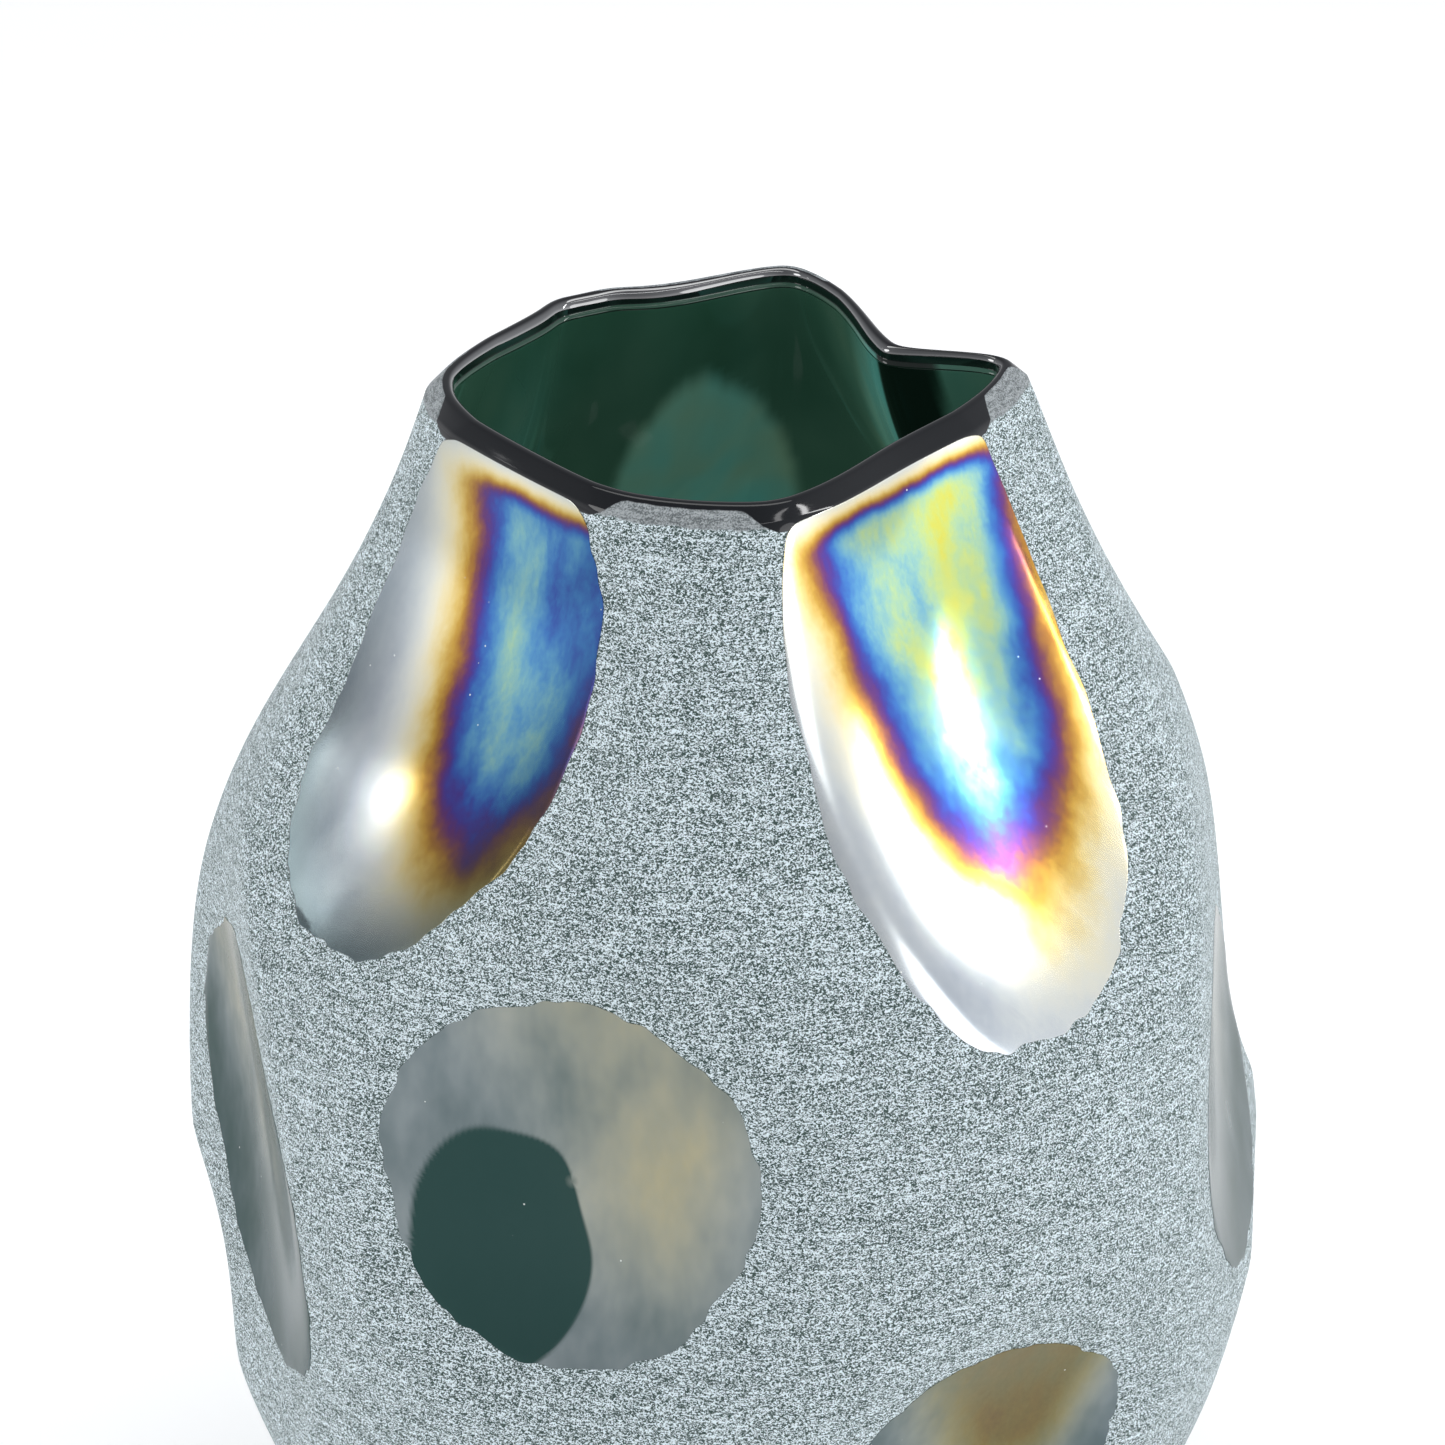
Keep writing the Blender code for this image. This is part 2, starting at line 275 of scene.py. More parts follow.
@dataclass(frozen=True)
class GroundGlass:
    """Outside of the casing: coarse matt grinding, a finer ground bevel and the polished lip."""

    pit: Colour = (0.030, 0.062, 0.054)
    speck: Colour = (0.76, 0.86, 0.90)
    fine_dark: Colour = (0.10, 0.115, 0.12)
    fine_light: Colour = (0.36, 0.39, 0.40)
    polished: Colour = (0.004, 0.005, 0.007)
    grain: float = 0.31 * MM
    grain_flatness: float = 1.25
    cell_share: float = 0.55
    speck_range: Pair = (0.40, 0.72)
    drift_scale: Pair = (28.0, 42.0)
    drift_strength: float = 0.08
    streak_scale: Pair = (120.0, 1700.0)
    streak_range: Pair = (0.46, 0.72)
    streak_strength: float = 0.16
    fine_grain: float = 0.4 * MM
    fine_range: Pair = (0.36, 0.62)
    scratch_scale: Pair = (300.0, 1800.0)
    scratch_share: float = 0.35
    band: float = 4.6 * MM
    band_blur: float = 0.25 * MM
    ragged: float = 1.6 * MM
    ragged_scale: Pair = (260.0, 260.0)
    lustre_range: Pair = (-0.005, 0.03)
    lustre_ragged: float = 8.0
    lip_blur: float = 0.22 * MM
    lip_ragged: float = 0.25
    coated: Pair = (-1.3 * MM, -0.2 * MM)
    coat_index: float = 2.4
    gloss: float = 0.06
    matt: float = 0.52
    index: float = 1.4
    bump_strength: float = 0.55
    bump_height: float = 0.25 * MM
    fine_bump: float = 0.25

    def coarse(self, tree: Tree) -> tuple[Socket, Socket]:
        """Coarse grinding: pale specks on dark pits, with faint drifts and level streaks.

        Args:
            tree: the material's tree.

        Returns:
            The grains' height and the colour.
        """
        where = tree.stretched(1 / self.grain, self.grain_flatness / self.grain)
        cell = tree.add("ShaderNodeSeparateColor", {}, {"Color": tree.cells(where, "Color")}, "Red")
        grains = cell * self.cell_share + tree.noise(where, 1.0, 0.6) * (1 - self.cell_share)
        drifts = tree.noise(tree.stretched(*self.drift_scale), 2.0, 0.6)
        streaks = tree.noise(tree.stretched(*self.streak_scale), 2.0, 0.6)
        tone = grains + streaks.rises(*self.streak_range) * self.streak_strength
        tone = tone + (drifts - 0.5) * self.drift_strength
        return grains, tree.mix(tone.rises(*self.speck_range), self.pit, self.speck)

    def fine(self, tree: Tree) -> tuple[Socket, Socket]:
        """Fine grinding on the bevel: soft grain with short level scratches.

        Args:
            tree: the material's tree.

        Returns:
            The grain's height and the colour.
        """
        grain = tree.noise(tree.stretched(1 / self.fine_grain, 1 / self.fine_grain), 1.0, 0.6)
        scratches = tree.noise(tree.stretched(*self.scratch_scale), 1.0, 0.5)
        tone = grain * (1 - self.scratch_share) + scratches * self.scratch_share
        return grain, tree.mix(tone.rises(*self.fine_range), self.fine_dark, self.fine_light)

    def material(self) -> bpy.types.Material:
        """Build the material.

        Returns:
            A material that reads the attributes lip_depth (m), lustre_field and polish_edge (m).
        """
        made = bpy.data.materials.new("ground_glass_finish")
        tree = Tree(made)
        grains, coarse = self.coarse(tree)
        fine_grains, fine = self.fine(tree)
        depth = tree.attribute("lip_depth")
        ragged = (tree.noise(tree.stretched(*self.ragged_scale), 2.0, 0.6) - 0.5) * self.ragged
        band_ends = (self.band - self.band_blur, self.band + self.band_blur)
        below_band = (depth + ragged).rises(*band_ends)
        ground = tree.mix(below_band, fine, coarse)
        near_lustre = tree.attribute("lustre_field") + ragged * self.lustre_ragged
        in_lustre = near_lustre.rises(*self.lustre_range)
        polish_edge = tree.attribute("polish_edge") + ragged * self.lip_ragged
        on_lip = 1.0 - (depth - polish_edge).rises(0.0, self.lip_blur)
        shiny = 1.0 - (1.0 - in_lustre) * (1.0 - on_lip)
        bumps = (grains * below_band + fine_grains * self.fine_bump) * (1.0 - shiny)
        tree.surface({
            "Base Color": tree.mix(shiny, ground, self.polished),
            "Roughness": (1.0 - shiny) * self.matt + self.gloss,
            "Normal": tree.bump(bumps, self.bump_strength, self.bump_height),
            "IOR": self.index,
            "Coat Weight": shiny * (1.0 - depth.rises(*self.coated)),
            "Coat Roughness": self.gloss,
            "Coat IOR": self.coat_index,
        })
        return made


@dataclass(frozen=True)
class GreenGlass:
    """Inside of the bubble: glossy deep bottle green, with painted light behind the clearer
    islands, painted shadow along its sharp folds and a painted glow.

    The cord share is the painted light that shows without cords, and what they add to it.
    """

    deep: Colour = (0.009, 0.036, 0.021)
    middling: Colour = (0.016, 0.050, 0.033)
    low: Colour = (0.032, 0.078, 0.052)
    # painted light: lit and olive are the colours of the lit patches behind the clearer islands
    lit: Colour = (0.046, 0.180, 0.155)
    olive: Colour = (0.088, 0.162, 0.105)
    # painted shadow: near black along the bubble's sharp folds, by fold_darkness
    dark: Colour = (0.001, 0.003, 0.002)
    cloud_scale: Pair = (22.0, 14.0)
    olive_range: Pair = (0.35, 0.70)
    middling_range: Pair = (0.3, 0.8)
    low_heights: Pair = (0.19, 0.31)
    cord_scale: Pair = (90.0, 12.0)
    cord_share: Pair = (0.8, 0.3)
    lit_range: Pair = (-0.01, 0.16)
    lit_clouding: float = 0.06
    fold_darkness: float = 0.96
    wave_scale: Pair = (30.0, 18.0)
    wave_strength: float = 0.3
    wave_height: float = 0.8 * MM
    roughness: float = 0.07
    index: float = 1.5
    # painted glow: the inner glass gives off its own colour, painted light and shadow included
    painted_glow: float = 0.5

    def material(self) -> bpy.types.Material:
        """Build the material.

        Returns:
            A material that reads the attributes painted_light_patch, which is painted light, and
            painted_fold_shadow, which is painted shadow.
        """
        made = bpy.data.materials.new("green_glass_finish")
        tree = Tree(made)
        clouds = tree.noise(tree.stretched(*self.cloud_scale), 3.0, 0.6)
        cords = tree.noise(tree.stretched(*self.cord_scale), 2.0, 0.5)
        folded = tree.attribute("painted_fold_shadow")
        # painted light: lighter green where an island's place would let light in
        through = tree.attribute("painted_light_patch") + (clouds - 0.5) * self.lit_clouding
        share = through.rises(*self.lit_range) * (self.cord_share[0] + self.cord_share[1] * cords)
        height = tree.axis(tree.place(), "Z")
        upper = tree.mix(clouds.rises(*self.middling_range), self.deep, self.middling)
        wall = tree.mix(height.rises(*self.low_heights), self.low, upper)
        lit = tree.mix(clouds.rises(*self.olive_range), self.lit, self.olive)
        colour = tree.mix(share * (1.0 - folded), wall, lit)
        # painted shadow along the folds
        colour = tree.mix(folded * self.fold_darkness, colour, self.dark)
        waves = tree.noise(tree.stretched(*self.wave_scale), 1.0, 0.5)
        tree.surface({
            "Base Color": colour,
            "Roughness": self.roughness,
            "Normal": tree.bump(waves, self.wave_strength, self.wave_height),
            "IOR": self.index,
            # painted glow of the glass's own colour
            "Emission Color": colour,
            "Emission Strength": self.painted_glow,
        })
        return made


@dataclass(frozen=True)
class Lustre:
    """Metallic film whose colour follows its thickness, as light from its two faces interferes.

    A swing is how far a noise moves a value: the film's swings are for slow, curling and grainy
    noise, and the cover's for the first two. Metallic and specular are given at no strength,
    with what full strength adds.
    """

    film_index: float = 2.05
    glass_index: float = 1.52
    thickest: float = 1100.0
    gain: float = 4.1
    black_level: float = 0.023
    limits: Pair = (0.025, 0.92)
    tint: Colour = (1.06, 1.0, 0.90)
    depth_of_colour: float = 1.2
    thick_range: Pair = (0.33, 0.5)
    thick_dimming: float = 0.28
    body: Colour = (0.014, 0.050, 0.045)
    stops: int = 32
    slow_scale: Pair = (34.0, 20.0)
    curl_scale: Pair = (130.0, 70.0)
    grain_scale: Pair = (700.0, 420.0)
    film_swings: tuple[float, float, float] = (0.48, 0.22, 0.09)
    cover_swings: Pair = (0.5, 0.35)
    fleck: Colour = (0.75, 0.78, 0.76)
    fleck_scale: float = 210.0
    fleck_range: Pair = (0.035, 0.06)
    fleck_patches: float = 60.0
    patch_range: Pair = (0.60, 0.66)
    fleck_share: float = 0.8
    roughness: float = 0.15
    roughness_swing: float = 0.06
    fleck_roughness: float = 0.3
    metallic: Pair = (0.1, 0.85)
    specular: Pair = (0.06, 0.44)
    bump_strength: float = 0.25
    bump_height: float = 0.5 * MM

    def reflected(self, path: float) -> Colour:
        """Colour reflected by a film.

        The share of light is (a^2 + b^2 + 2ab cos p) / (1 + a^2 b^2 + 2ab cos p), where a and b
        are the reflections at the film's outer and inner face and p is the phase gained over
        the optical path there and back. It is averaged over a few wavelengths for each primary.
        The black level is taken off it, and it is raised to the depth of colour. Thick film
        is dimmed, because it takes up more light.

        Args:
            path: optical path there and back, in nanometres.

        Returns:
            Linear red, green and blue.
        """
        outer = (1 - self.film_index) / (1 + self.film_index)
        inner = (self.film_index - self.glass_index) / (self.film_index + self.glass_index)
        primaries = np.array([[590, 612, 640], [525, 546, 568], [436, 452, 470]], float)
        wave = 2 * outer * inner * np.cos(2 * np.pi * path / primaries)
        share = (outer**2 + inner**2 + wave) / (1 + (outer * inner) ** 2 + wave)
        colour = self.gain * (share.mean(axis=1) - self.black_level) * self.tint
        deepened = np.clip(colour, *self.limits) ** self.depth_of_colour
        dimmed = 1 - self.thick_dimming * smooth(path / self.thickest, *self.thick_range)
        return tuple(float(value) for value in deepened * dimmed)

    def material(self, name: str, strength: float) -> bpy.types.Material:
        """Build the material.

        Args:
            name: the material's name.
            strength: share of the film's colour over the dark glass under it.

        Returns:
            A material that reads the attributes film (0, thin, to 1, thick), cover, which is low
            in a painted dark reflection, and shade, which is painted shade.
        """
        made = bpy.data.materials.new(name)
        tree = Tree(made)
        shares = np.linspace(0, 1, self.stops)
        stops = [(float(share), self.reflected(float(share * self.thickest))) for share in shares]
        slow = tree.noise(tree.stretched(*self.slow_scale), 2.0, 0.5) - 0.5
        curls = tree.noise(tree.stretched(*self.curl_scale), 2.0, 0.55) - 0.5
        grains = tree.noise(tree.stretched(*self.grain_scale), 2.0, 0.7) - 0.5
        swings = self.film_swings
        moved = 1.0 + slow * swings[0] + curls * swings[1] + grains * swings[2]
        film = tree.attribute("film") * moved
        colour = tree.add("ShaderNodeValToRGB", {"stops": stops}, {"Fac": film}, "Color")
        uneven = slow * self.cover_swings[0] + curls * self.cover_swings[1]
        # where cover is low, the dark glass colour is a painted dark reflection
        covered = (uneven * (1.0 - strength) + strength) * tree.attribute("cover")
        colour = tree.mix(covered, self.body, colour)
        # painted shade towards the rim, in the dark glass colour
        colour = tree.mix(tree.attribute("shade"), colour, self.body)
        dots = tree.cells(tree.stretched(self.fleck_scale, self.fleck_scale), "Distance")
        patches = tree.noise(tree.stretched(self.fleck_patches, self.fleck_patches), 0.0, 0.5)
        fleck = (1.0 - dots.rises(*self.fleck_range)) * patches.rises(*self.patch_range)
        rough = self.roughness + slow * self.roughness_swing + fleck * self.fleck_roughness
        tree.surface({
            "Base Color": tree.mix(fleck * self.fleck_share, colour, self.fleck),
            "Metallic": self.metallic[0] + self.metallic[1] * strength,
            "Roughness": rough,
            "Normal": tree.bump(slow, self.bump_strength, self.bump_height),
            "Specular IOR Level": self.specular[0] + self.specular[1] * strength,
        })
        return made


# ---------------------------------------------------------------- form


@dataclass(frozen=True)
class Dent:
    """A place pressed in by a tool: sizes in mm, measured round the wall and down it.

    The azimuth is in degrees, and the lean in mm sideways per mm down.
    """

    azimuth: float
    drop: float
    left: float
    right: float
    half_height: float
    depth: float
    lean: float = 0.0


@dataclass(frozen=True)
class Film:
    """How the lustre's thickness, from 0 to 1, varies over an island.

    Places are shares of the island's half width, from -1 at its left to 1 at its right, and of
    its height, from -1 at its top to 1 at its bottom. The ellipse of painted dark reflection is
    given by the place of its middle, across and down, and its half width and half height. Its
    edge waves by the first value of painted_reflection_wave, with the other two as the waves'
    turns across and down. The painted shade is least_shade of the full one at the top, and
    rises downwards.
    """

    edge: float = 0.12
    peak: float = 0.30
    rise: Pair = (-0.9, 0.2)
    fall: Pair = (0.4, 1.0)
    kept: float = 0.0
    fade: Pair = (-0.1, 0.9)
    slant: float = 0.4
    strength: float = 1.0
    # painted shade towards the island's rim, in place of a dark reflection
    rim_shade: float = 0.0
    # ellipse of painted dark reflection: middle across and down, half width and half height
    painted_reflection: tuple[float, float, float, float] | None = None
    fall_slant: float = 0.5
    painted_reflection_cover: float = 0.02
    painted_reflection_edge: Pair = (0.97, 1.02)
    painted_reflection_wave: tuple[float, float, float] = (0.04, 9.0, 7.0)
    shade_range: Pair = (0.45, 1.05)
    least_shade: float = 0.45
    shade_rise: Pair = (-0.6, 0.6)

    def thickness(self, across: np.ndarray, down: np.ndarray) -> np.ndarray:
        """Edge value plus a ridge: a slanted smooth rise and fall across, and a fade downwards.

        Args:
            across: place across the island.
            down: place down the island.

        Returns:
            Film thickness.
        """
        slanted = self.slant * down
        falling = smooth(across + self.fall_slant * slanted, *self.fall)
        ridge = smooth(across - slanted, *self.rise) * (1 - (1 - self.kept) * falling)
        return self.edge + self.peak * ridge * (1 - smooth(down, *self.fade))

    def cover(self, across: np.ndarray, down: np.ndarray) -> np.ndarray:
        """Share of the lustre's colour that shows: 1, but almost 0 in the painted dark reflection.

        The ellipse's edge is a smooth step of the distance from its middle, in half widths and
        half heights, to which a slight wave is added.

        Args:
            across: place across the island.
            down: place down the island.

        Returns:
            The share covered.
        """
        if self.painted_reflection is None:
            return np.ones(across.shape)
        middle, level, half_width, half_height = self.painted_reflection
        spread = np.hypot((across - middle) / half_width, (down - level) / half_height)
        size, turns_across, turns_down = self.painted_reflection_wave
        wave = size * np.sin(turns_across * across + turns_down * down)
        inside = smooth(spread + wave, *self.painted_reflection_edge)
        return self.painted_reflection_cover + (1 - self.painted_reflection_cover) * inside

    def shade(self, across: np.ndarray, down: np.ndarray) -> np.ndarray:
        """How far painted shade darkens the lustre: a smooth step towards its rim, strongest
        at the bottom.

        Args:
            across: place across the island.
            down: place down the island.

        Returns:
            The share of painted shade, in the dark glass colour.
        """
        low = self.least_shade + (1 - self.least_shade) * smooth(down, *self.shade_rise)
        return self.rim_shade * smooth(np.hypot(across, down), *self.shade_range) * low


@dataclass(frozen=True)
class Island:
    """Outline of the lustre left in a dent: sizes in mm, lean in mm sideways per mm down.

    Rise and fall are its half heights above and below its middle. Clear is how much painted
    light its place puts on the inside of the bubble, and dish is the depth of its shallow hollow.
    """

    azimuth: float
    drop: float
    half_width: float
    rise: float
    fall: float
    lean: float = 0.0
    film: Film = Film()
    # share of painted light that this island puts on the inside of the bubble
    clear: float = 0.08
    dish: float = 2.0


def smooth(value: np.ndarray, low: float, high: float) -> np.ndarray:
    """Smooth step: 3t^2 - 2t^3, where t runs from 0 at low to 1 at high."""
    t = np.clip((value - low) / (high - low), 0, 1)
    return t * t * (3 - 2 * t)


DENTS = (
    Dent(azimuth=-50, drop=54, left=60, right=57, half_height=70, depth=11),
    Dent(49, 25, left=57, right=60, half_height=104, depth=16, lean=-0.19),
    Dent(118, 22, left=20, right=62, half_height=96, depth=24),
    Dent(-162, 34, left=42, right=37, half_height=76, depth=17),
    Dent(-126, 33, left=32, right=48, half_height=80, depth=11),
    Dent(-18, 150, left=58, right=58, half_height=62, depth=12),
    Dent(-72, 173, left=48, right=52, half_height=74, depth=12, lean=0.2),
    Dent(83, 146, left=62, right=67, half_height=70, depth=12, lean=-0.2),
    Dent(113, 152, left=51, right=45, half_height=47, depth=12),
    Dent(172, 158, left=50, right=50, half_height=55, depth=12),
    Dent(-120, 150, left=45, right=45, half_height=50, depth=12),
    Dent(30, 222, left=50, right=50, half_height=44, depth=10),
    Dent(-97, 234, left=45, right=48, half_height=44, depth=10.5),
    Dent(95, 236, left=44, right=44, half_height=40, depth=10),
    Dent(-160, 234, left=48, right=48, half_height=42, depth=10),
)

FAINT = Film(peak=0.25, strength=0.25)
DULL = Film(peak=0.3, strength=0.3)

ISLANDS = {
    "upper_left": Island(
        azimuth=-50.5, drop=62, half_width=42, rise=74, fall=45, lean=-0.05, dish=4.0,
        film=Film(
            edge=0.15, peak=0.46, rise=(-0.75, 0.35), fall=(0.75, 1.05), kept=0.7,
            # painted shade towards the rim
            fade=(0.0, 1.1), rim_shade=0.75,
        ),
    ),
    "upper_right": Island(
        38.5, 60, half_width=45, rise=102, fall=58, lean=-0.08,
        film=Film(
            edge=0.17, peak=0.54, rise=(-0.95, -0.05), fall=(0.5, 1.1), kept=0.35,
            fade=(-0.25, 1.1), slant=0.5,
        ),
    ),
    "upper_back_right": Island(
        128, 46, half_width=38, rise=70, fall=52, clear=0.3, film=Film(edge=0.18, peak=0.4),
    ),
    "upper_back": Island(
        -173, 68, half_width=31, rise=46, fall=40, clear=1.0, film=Film(edge=0.16, peak=0.5),
    ),
    "upper_back_left": Island(
        -124, 52, half_width=32, rise=60, fall=44, film=Film(edge=0.18, peak=0.45),
    ),
    "middle_front": Island(
        -18, 147, half_width=46, rise=46, fall=44,
        film=Film(
            edge=0.15, peak=0.10, rise=(-0.6, 0.5), fall=(0.6, 1.2), fade=(0.2, 1.3),
            # painted dark reflection in the island's lower left
            strength=0.32, painted_reflection=(-0.38, 0.40, 0.50, 0.66),
        ),
    ),
    "middle_left": Island(
        -68, 170, half_width=40, rise=46, fall=50, lean=0.35,
        film=Film(edge=0.10, peak=0.2, strength=0.11),
    ),
    "middle_right": Island(
        76, 163, half_width=36, rise=40, fall=46, film=Film(edge=0.10, peak=0.1, strength=0.10),
    ),
    "middle_back_right": Island(122, 160, half_width=34, rise=38, fall=40, film=DULL),
    "middle_back": Island(
        172, 160, half_width=40, rise=42, fall=40, clear=0.7,
        film=Film(peak=0.35, strength=0.45),
    ),
    "middle_back_left": Island(
        -126, 150, half_width=32, rise=40, fall=38, lean=-0.1, film=DULL,
    ),
    "lower_front": Island(30, 224, half_width=38, rise=32, fall=30, film=FAINT),
    "lower_left": Island(-100, 238, half_width=32, rise=28, fall=28, film=FAINT),
    "lower_right": Island(97, 238, half_width=32, rise=28, fall=28, film=FAINT),
    "lower_back": Island(-160, 236, half_width=36, rise=30, fall=30, film=FAINT),
}


@dataclass
class VaseForm:
    """The pressed form that every glass layer shares.

    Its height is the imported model's, to a hundredth of a millimetre, less the rise of the
    sloping lip. Each pull gives how far a control point stands from its end of a profile curve.
    The second softening is added to the first towards the lip.
    """

    lip_rise: float = 5.2 * MM
    height: float = round(CAD_BOX[1][2], 5) - lip_rise
    lip_radius: float = 69 * MM
    belly_radius: float = 130.5 * MM
    belly_height: float = 152 * MM
    foot_radius: float = 60 * MM
    foot_pull: Pair = (43 * MM, 22 * MM)
    belly_pulls: Pair = (77 * MM, 87 * MM)
    lip_pull: Pair = (30 * MM, 90 * MM)
    lip_low_azimuth: float = math.radians(22)
    lip_rise_reach: float = 80 * MM
    dent_edge_power: float = 1.3
    softening: Pair = (2.5 * MM, 1.5 * MM)
    softening_power: float = 4.0
    lustre_below_lip: float = 3.9 * MM
    dents: tuple[Dent, ...] = DENTS
    islands: dict[str, Island] = field(default_factory=lambda: ISLANDS)
    profile: np.ndarray = field(init=False)

    def __post_init__(self) -> None:
        """Join the profile's two cubic curves, foot to belly and belly to lip."""
        below, above = self.belly_pulls
        belly = (self.belly_radius, self.belly_height)
        lower = self.curve(
            (self.foot_radius, 0),
            (self.foot_radius + self.foot_pull[0], self.foot_pull[1]),
            (self.belly_radius, self.belly_height - below),
            belly,
        )
        upper = self.curve(
            belly,
            (self.belly_radius, self.belly_height + above),
            (self.lip_radius + self.lip_pull[0], self.height - self.lip_pull[1]),
            (self.lip_radius, self.height),
        )
        self.profile = np.concatenate([lower[:-1], upper])

    @staticmethod
    def curve(*corners: Pair) -> np.ndarray:
        """A cubic Bezier curve: the four corners weighted by the Bernstein terms of t."""
        t = np.linspace(0, 1, 200)[:, None]
        weights = ((1 - t) ** 3, 3 * (1 - t) ** 2 * t, 3 * (1 - t) * t**2, t**3)
        return sum(weight * np.array(corner) for weight, corner in zip(weights, corners))

    def turned_radius(self, height: np.ndarray) -> np.ndarray:
        """Outer radius before pressing, read from the profile at a height."""
        return np.interp(height, self.profile[:, 1], self.profile[:, 0])

    def pressed(self, azimuth: np.ndarray, height: np.ndarray) -> np.ndarray:
        """Depth pressed in: the sum over dents of depth times (1 - q)^power.

        q is the squared distance from the dent's middle, in half widths and half heights.

        Args:
            azimuth: azimuths in radians.
            height: heights in metres.

        Returns:
            The depth in metres.
        """
        total = np.zeros(np.broadcast(azimuth, height).shape)
        radius = self.turned_radius(height)
        for dent in self.dents:
            down = (self.height - height) - dent.drop * MM
            across = wrapped(azimuth - math.radians(dent.azimuth)) * radius - dent.lean * down
            half_width = np.where(across < 0, dent.left, dent.right) * MM
            spread = (across / half_width) ** 2 + (down / (dent.half_height * MM)) ** 2
            total += dent.depth * MM * np.clip(1 - spread, 0, None) ** self.dent_edge_power
        return total

    def softened(self, azimuth: np.ndarray, height: np.ndarray) -> np.ndarray:
        """Pressed depth with its ridges rounded: a weighted mean of five azimuths side by side.

        The azimuths are spread to either side over a width that grows from the first
        softening, at the foot, to the sum of both at the lip.

        Args:
            azimuth: azimuths in radians.
            height: heights in metres.

        Returns:
            The depth in metres.
        """
        share = np.clip(height / self.height, 0, 1) ** self.softening_power
        step = (self.softening[0] + self.softening[1] * share) / self.turned_radius(height)
        weights = {-1.0: 0.12, -0.5: 0.24, 0.0: 0.28, 0.5: 0.24, 1.0: 0.12}
        return sum(
            weight * self.pressed(azimuth + place * step, height)
            for place, weight in weights.items()
        )

    def island_place(
        self, island: Island, azimuth: np.ndarray, height: np.ndarray
    ) -> tuple[np.ndarray, np.ndarray]:
        """Place on an island in shares of its half width and of its rise or fall.

        Args:
            island: the island.
            azimuth: azimuths in radians.
            height: heights in metres.

        Returns:
            Shares across and down.
        """
        down = (self.height - height) - island.drop * MM
        turn = wrapped(azimuth - math.radians(island.azimuth))
        across = turn * self.turned_radius(height) - island.lean * down
        share_down = down / (np.where(down > 0, island.fall, island.rise) * MM)
        return across / (island.half_width * MM), share_down

    def scooped(self, azimuth: np.ndarray, height: np.ndarray) -> np.ndarray:
        """Depth of the shallow dish in each island: dish times (1 - q), q the squared spread.

        Args:
            azimuth: azimuths in radians.
            height: heights in metres.

        Returns:
            The depth in metres, 0 outside the islands.
        """
        total = np.zeros(np.broadcast(azimuth, height).shape)
        for island in self.islands.values():
            across, down = self.island_place(island, azimuth, height)
            total = np.maximum(total, island.dish * MM * (1 - across**2 - down**2))
        return total

    def lustre_field(
        self, azimuth: np.ndarray, height: np.ndarray, by_painted_light: bool = False
    ) -> np.ndarray:
        """How far inside the nearest island a point is: 1 in its middle, 0 on its outline.

        It is 1 less the distance from the island's middle as a share of its waved outline.

        Args:
            azimuth: azimuths in radians.
            height: heights in metres.
            by_painted_light: whether each island's share is multiplied by how clear it is, which
                sets the painted light inside the bubble.

        Returns:
            The share, which is negative outside.
        """
        best = np.full(np.broadcast(azimuth, height).shape, -1.0)
        for island in self.islands.values():
            across, down = self.island_place(island, azimuth, height)
            spread = np.hypot(across, down) / edge_waves(island, np.arctan2(-down, across))
            best = np.maximum(best, (1 - spread) * (island.clear if by_painted_light else 1.0))
        return best

    def lift(self, azimuth: np.ndarray, height: np.ndarray) -> np.ndarray:
        """Height added by the sloping cut: a cosine round the lip times a squared ramp.

        Args:
            azimuth: azimuths in radians.
            height: heights in metres.

        Returns:
            The added height in metres.
        """
        near_lip = np.clip(1 - (self.height - height) / self.lip_rise_reach, 0, 1)
        return self.lip_rise * (1 - np.cos(azimuth - self.lip_low_azimuth)) / 2 * near_lip**2

    def points(self, azimuth: np.ndarray, height: np.ndarray, offset: np.ndarray) -> np.ndarray:
        """Points of a layer: the turned radius less dents, scoops and offset.

        Args:
            azimuth: azimuths in radians.
            height: heights before the lip's slope, in metres.
            offset: distance inwards from the outside face.

        Returns:
            Points, with x, y and z in the last axis.
        """
        level = np.clip(height, 0, self.height)
        pressed = self.softened(azimuth, level) + self.scooped(azimuth, level)
        radius = self.turned_radius(level) - pressed - offset
        lifted = height + self.lift(azimuth, level)
        parts = (radius * np.sin(azimuth), -radius * np.cos(azimuth), lifted)
        return np.stack(np.broadcast_arrays(*parts), axis=-1)


def wrapped(angle: np.ndarray) -> np.ndarray:
    """An angle brought between minus pi and pi."""
    return np.mod(angle + np.pi, 2 * np.pi) - np.pi


PHASE_SHARES = (0.7, 0.3)
PHASE_POWER = 1.5
EDGE_WAVES = (
    (2, 0.018), (3, 0.022), (5, 0.013), (8, 0.009), (13, 0.007), (21, 0.005), (34, 0.004),
    (47, 0.0025),
)


def edge_waves(island: Island, angle: np.ndarray) -> np.ndarray:
    """Outline of an island as a share of its ellipse: one plus a few small sine waves.

    Each pair in EDGE_WAVES is a number of waves round the outline and their size. Their phase
    is a sum of shares of the island's azimuth and drop, times a power of the number of waves,
    so that no two islands have the same edge.

    Args:
        island: the island.
        angle: angles round its middle.

    Returns:
        Share of the ellipse's radius.
    """
    phase = island.azimuth * PHASE_SHARES[0] + island.drop * PHASE_SHARES[1]
    return 1 + sum(
        size * np.sin(count * angle + phase * count**PHASE_POWER) for count, size in EDGE_WAVES
    )


# ---------------------------------------------------------------- meshes


